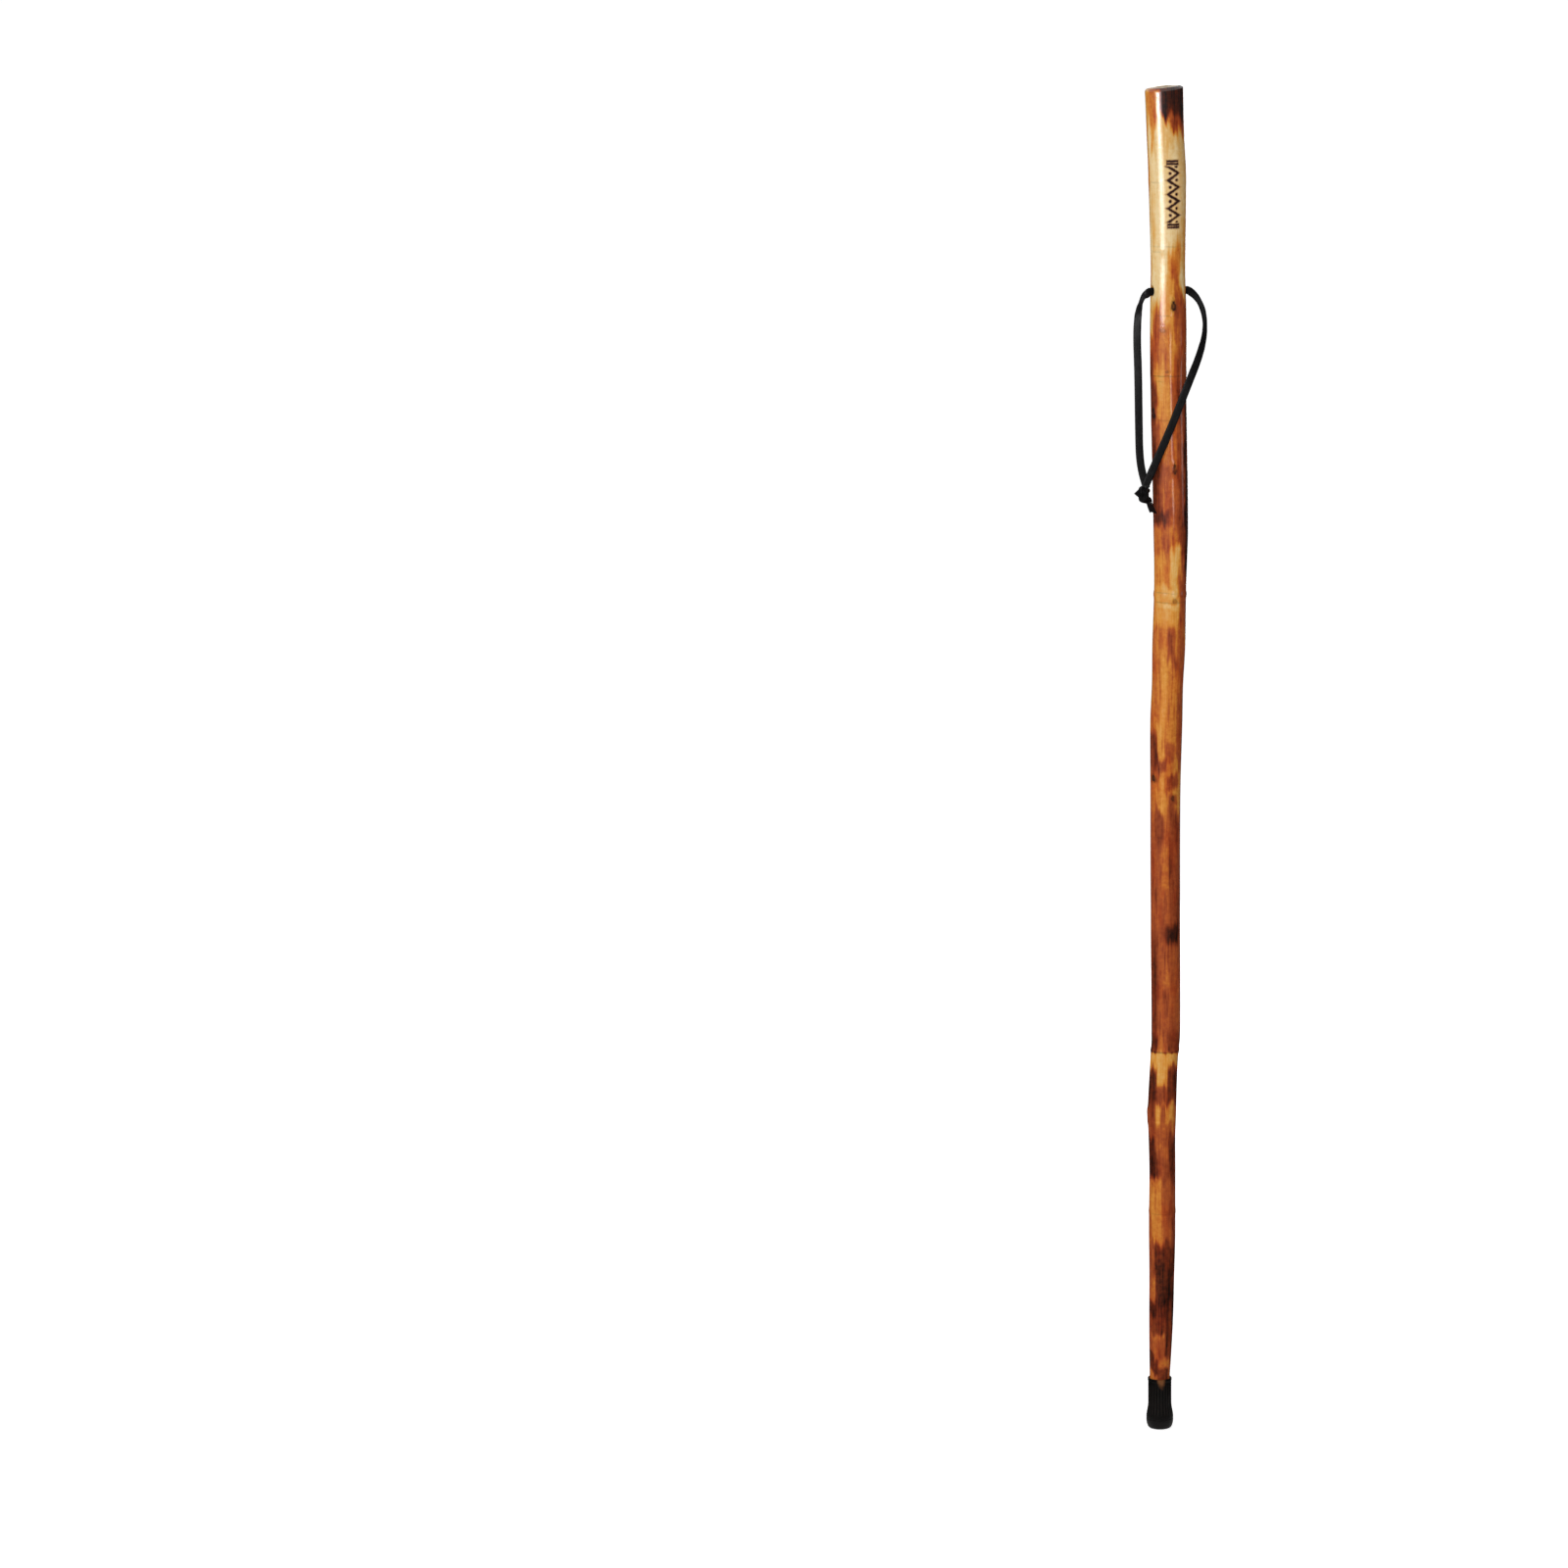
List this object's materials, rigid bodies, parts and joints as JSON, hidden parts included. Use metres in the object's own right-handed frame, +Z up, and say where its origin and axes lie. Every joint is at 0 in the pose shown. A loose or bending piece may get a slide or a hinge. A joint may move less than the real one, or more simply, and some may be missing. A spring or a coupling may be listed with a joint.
{
  "type": "walking cane",
  "caption": "Full-height wooden walking cane: a flame-darkened, varnished sapling shaft with a knotted leather wrist lace through a cross bore and a push-on rubber tip.",
  "frame": {"origin": "centre of the cross bore that the lace runs through, at the height where a hand holds the staff", "axes": "+Z up the staff to its top end, -Y towards the side with the burned border, +X to that side's right"},
  "size_m": [0.0679, 0.0393, 1.27],
  "materials": {
    "varnished_sapling": "flame-darkened in patches, under gloss varnish",
    "moulded_rubber": "moulded, satin",
    "zinc_plated_steel": "zinc plated",
    "black_leather": "dyed black, cut edges, soft sheen"
  },
  "bodies": {
    "shaft": {"shaft": "varnished_sapling"},
    "lace": {"lace_in_bore": "black_leather", "lace_left_leg": "black_leather", "lace_right_leg": "black_leather", "lace_knot": "black_leather", "lace_short_tail": "black_leather", "lace_long_tail": "black_leather"},
    "tip": {"rubber_tip": "moulded_rubber", "tip_washer": "zinc_plated_steel"}
  },
  "joints": [
    {"name": "strap_swing", "type": "hinge", "parent": "shaft", "child": "lace", "pos_m": [0, 0, 0], "axis": [-0.9397, -0.342, 0], "range_deg": [0, 150]},
    {"name": "tip_pull", "type": "slide", "parent": "shaft", "child": "tip", "axis": [0, 0, -1], "range_m": [0, 0.048]}
  ]
}
